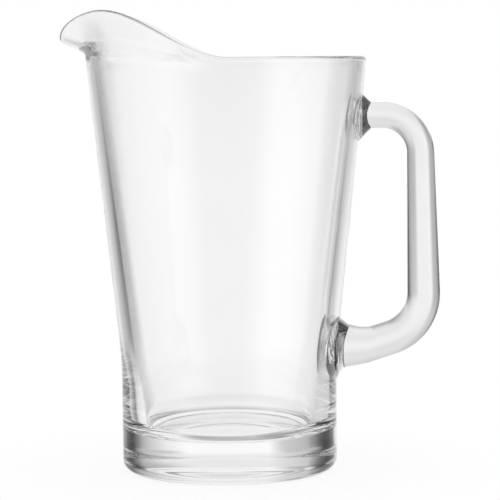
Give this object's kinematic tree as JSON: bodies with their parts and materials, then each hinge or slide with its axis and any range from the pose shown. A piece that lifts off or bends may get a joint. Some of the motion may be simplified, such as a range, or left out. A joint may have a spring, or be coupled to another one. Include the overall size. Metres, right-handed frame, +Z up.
{
  "type": "beer pitcher",
  "caption": "Tapered clear glass pitcher on a heavy solid foot, with a raised pouring spout and a bent glass handle fused to the wall, for serving and pouring drinks.",
  "frame": {"origin": "middle of the underside, on the vessel's axis, in the plane that the pitcher stands on", "axes": "+Z up along the vessel's axis, -X towards the spout, +X towards the handle"},
  "size_m": [0.1862, 0.138, 0.2273],
  "materials": {
    "vessel_glass": "clear fire-polished soda-lime glass",
    "handle_glass": "clear fire-polished soda-lime glass",
    "weld_glass": "clear glass, hot-joined, with soft folds"
  },
  "bodies": {
    "root": {"body": "vessel_glass", "handle": "handle_glass", "upper_weld": "weld_glass", "lower_weld": "weld_glass"}
  },
  "joints": []
}
